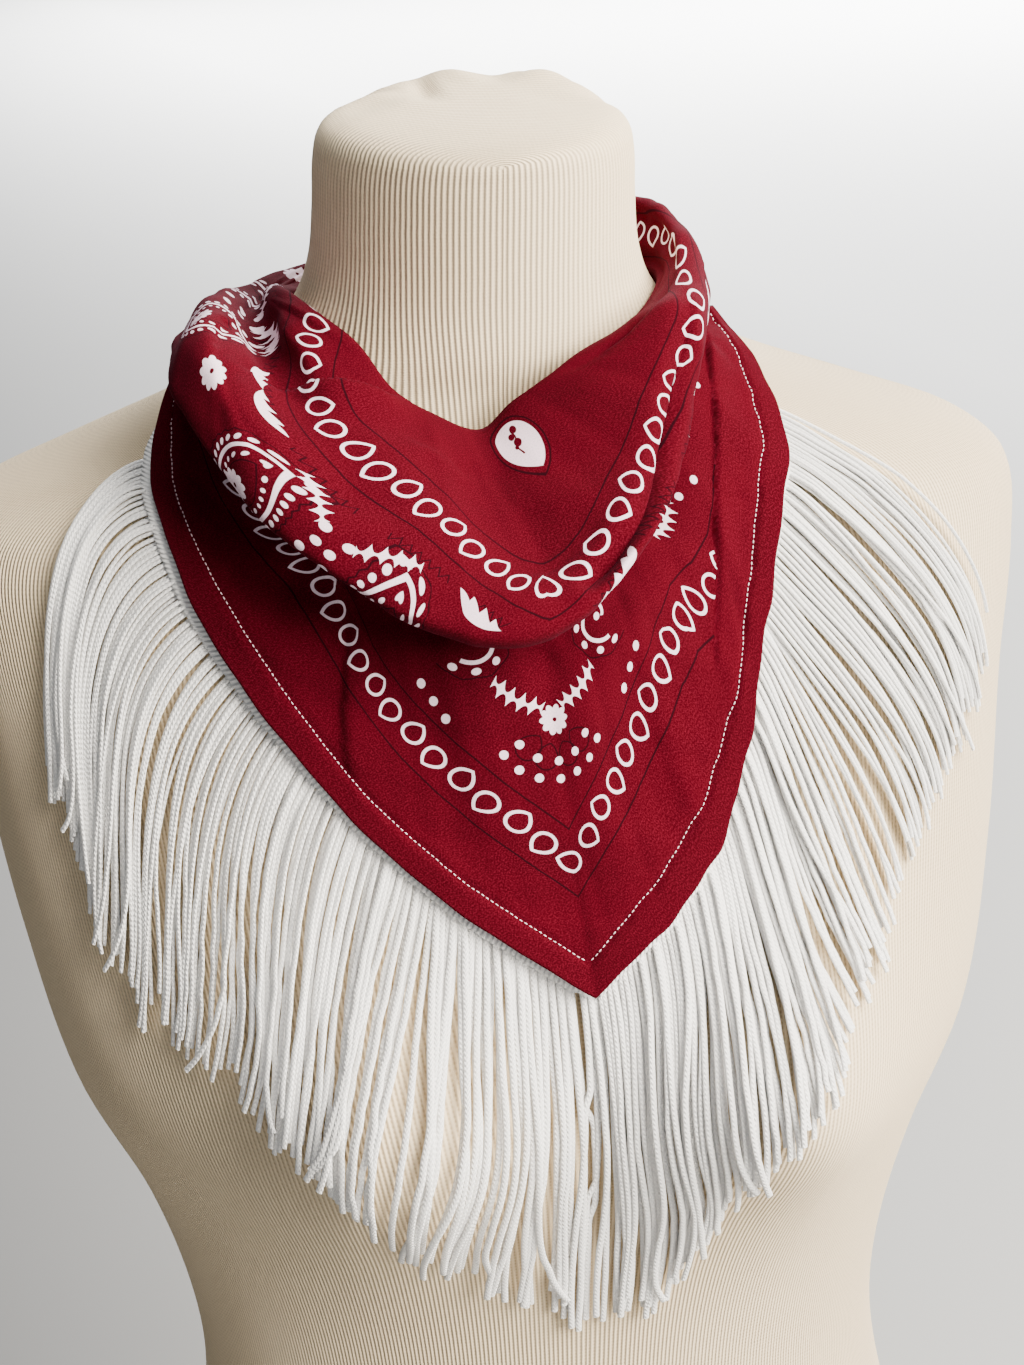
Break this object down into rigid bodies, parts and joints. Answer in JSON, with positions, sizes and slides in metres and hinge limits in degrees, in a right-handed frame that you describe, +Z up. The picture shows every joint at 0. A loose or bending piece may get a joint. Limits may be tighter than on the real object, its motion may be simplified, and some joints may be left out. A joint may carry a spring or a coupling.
{
  "type": "fringed scarf on a dress form",
  "caption": "Printed cotton square scarf with a white cord fringe, folded and draped as a cowl and bib round a limbless jersey-covered dress form.",
  "frame": {"origin": "centre of the bounding box at the flat base of the dress form", "axes": "+Z up along the form, -Y towards the front where the bib hangs, +X towards the form's left"},
  "size_m": [0.399, 0.2658, 0.738],
  "materials": {
    "jersey": "matte ribbed knit",
    "cotton": "matte printed plain weave",
    "fringe_cord": "soft sheen knitted cord"
  },
  "bodies": {
    "root": {"dress_form": "jersey", "scarf_cowl": "cotton", "scarf_bib": "cotton", "scarf_left_wrap": "cotton", "scarf_right_wrap": "cotton", "scarf_knot": "cotton", "scarf_left_tail": "cotton", "scarf_right_tail": "cotton", "fringe_left": "fringe_cord", "fringe_right": "fringe_cord"}
  },
  "joints": []
}
